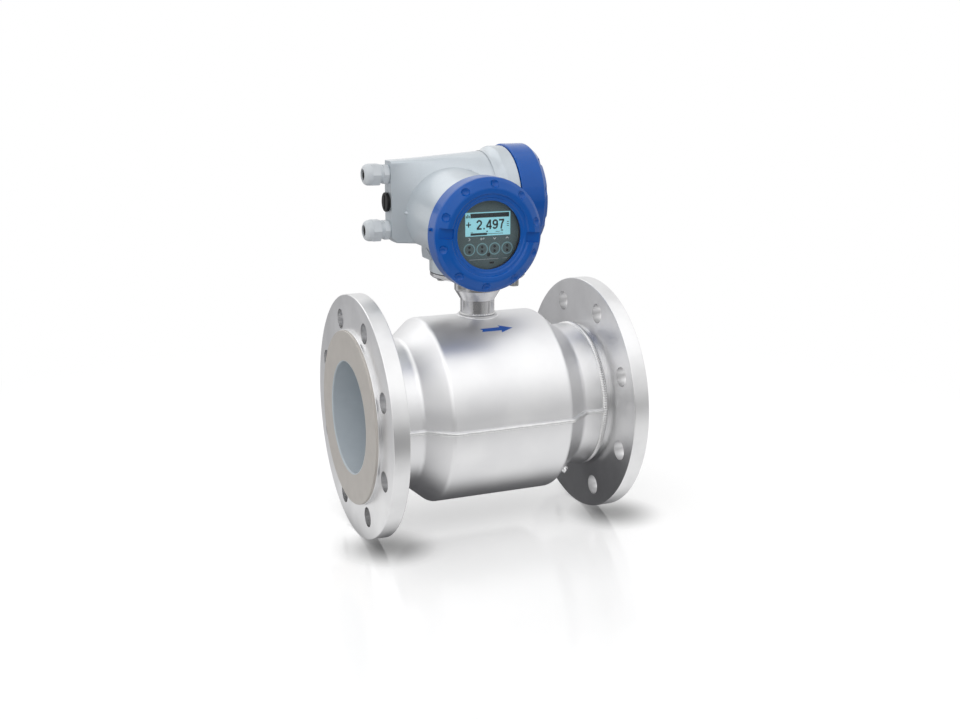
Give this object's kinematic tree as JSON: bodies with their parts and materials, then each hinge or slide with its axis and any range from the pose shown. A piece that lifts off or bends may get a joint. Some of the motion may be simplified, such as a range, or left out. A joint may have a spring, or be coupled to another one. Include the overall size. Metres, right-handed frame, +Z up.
{
  "type": "electromagnetic flow meter",
  "caption": "Flanged electromagnetic flow meter with a welded round sensor body and a converter head on a short neck, with screwed display and terminal covers.",
  "frame": {"origin": "on the pipe axis, midway between the two sealing faces", "axes": "+X along the pipe in the flow direction, +Z up through the neck, -Y out of the display"},
  "size_m": [0.25, 0.22, 0.3461],
  "materials": {
    "stainless_steel": "satin stainless steel",
    "liner": "smooth moulded lining",
    "pole_iron": "plain soft iron",
    "copper": "wound enamelled wire",
    "grey_paint": "silver grey powder paint on cast aluminium",
    "blue_paint": "blue powder paint on cast aluminium",
    "rubber": "black rubber",
    "glass": "clear flat glass",
    "fascia": "dark grey green plate",
    "lcd": "pale cyan display",
    "black_plastic": "black plastic",
    "terminal_green": "green terminal plastic",
    "light_plastic": "light grey plastic"
  },
  "bodies": {
    "meter": {"measuring_tube": "stainless_steel", "liner": "liner", "inlet_flange": "stainless_steel", "outlet_flange": "stainless_steel", "inlet_weld_bead": "stainless_steel", "outlet_weld_bead": "stainless_steel", "neck_weld_bead": "stainless_steel", "upper_housing_shell": "stainless_steel", "lower_housing_shell": "stainless_steel", "drain_plug": "stainless_steel", "upper_pole_shoe": "pole_iron", "lower_pole_shoe": "pole_iron", "upper_coil": "copper", "lower_coil": "copper", "front_electrode": "stainless_steel", "rear_electrode": "stainless_steel", "front_electrode_nut": "stainless_steel", "rear_electrode_nut": "stainless_steel", "sensor_neck": "stainless_steel", "neck_feedthrough": "black_plastic", "base_gasket": "rubber", "base_screws": "stainless_steel", "earth_screw": "stainless_steel", "converter_housing": "grey_paint", "display_fascia": "fascia", "lcd_panel": "lcd", "electronics_module": "black_plastic", "terminal_board": "fascia", "terminal_block": "terminal_green", "terminal_screws": "stainless_steel", "upper_gland_body": "light_plastic", "lower_gland_body": "light_plastic"},
    "display_cover_seal": {"display_cover_oring": "rubber"},
    "display_cover": {"display_cover": "blue_paint", "display_window": "glass", "window_retainer": "stainless_steel"},
    "terminal_cover_seal": {"terminal_cover_oring": "rubber"},
    "terminal_cover": {"terminal_cover": "blue_paint"},
    "blind_plug_seal": {"blind_plug_seal": "rubber"},
    "blind_plug": {"blind_plug": "black_plastic"},
    "upper_gland_seal": {"upper_gland_seal": "rubber"},
    "upper_gland_nut": {"upper_gland_nut": "light_plastic"},
    "lower_gland_seal": {"lower_gland_seal": "rubber"},
    "lower_gland_nut": {"lower_gland_nut": "light_plastic"}
  },
  "joints": [
    {"name": "display_cover_travel", "type": "slide", "parent": "meter", "child": "display_cover_seal", "axis": [0, -1, 0], "range_m": [0, 0.01]},
    {"name": "display_cover_turn", "type": "hinge", "parent": "display_cover_seal", "child": "display_cover", "pos_m": [-0.0158, -0.0446, 0.1662], "axis": [0, -1, 0], "range_deg": [0, 1800]},
    {"name": "terminal_cover_travel", "type": "slide", "parent": "meter", "child": "terminal_cover_seal", "axis": [1, 0, 0], "range_m": [0, 0.01]},
    {"name": "terminal_cover_turn", "type": "hinge", "parent": "terminal_cover_seal", "child": "terminal_cover", "pos_m": [0.033, 0.024, 0.1867], "axis": [1, 0, 0], "range_deg": [0, 1800]},
    {"name": "blind_plug_travel", "type": "slide", "parent": "meter", "child": "blind_plug_seal", "axis": [-1, 0, 0], "range_m": [0, 0.0075]},
    {"name": "blind_plug_turn", "type": "hinge", "parent": "blind_plug_seal", "child": "blind_plug", "pos_m": [-0.072, 0.037, 0.1861], "axis": [-1, 0, 0], "range_deg": [0, 1800]},
    {"name": "upper_gland_nut_travel", "type": "slide", "parent": "meter", "child": "upper_gland_seal", "axis": [-1, 0, 0], "range_m": [0, 0.0075]},
    {"name": "upper_gland_nut_turn", "type": "hinge", "parent": "upper_gland_seal", "child": "upper_gland_nut", "pos_m": [-0.0808, 0.037, 0.2111], "axis": [-1, 0, 0], "range_deg": [0, 1800]},
    {"name": "lower_gland_nut_travel", "type": "slide", "parent": "meter", "child": "lower_gland_seal", "axis": [-1, 0, 0], "range_m": [0, 0.0075]},
    {"name": "lower_gland_nut_turn", "type": "hinge", "parent": "lower_gland_seal", "child": "lower_gland_nut", "pos_m": [-0.0808, 0.037, 0.1611], "axis": [-1, 0, 0], "range_deg": [0, 1800]}
  ],
  "couplings": [
    {"joint": "display_cover_travel", "follows": "display_cover_turn", "m_per_rad": 0.00031831},
    {"joint": "terminal_cover_travel", "follows": "terminal_cover_turn", "m_per_rad": 0.00031831},
    {"joint": "blind_plug_turn", "follows": "blind_plug_travel", "rad_per_m": 4188.8},
    {"joint": "upper_gland_nut_turn", "follows": "upper_gland_nut_travel", "rad_per_m": 4188.8},
    {"joint": "lower_gland_nut_turn", "follows": "lower_gland_nut_travel", "rad_per_m": 4188.8}
  ]
}
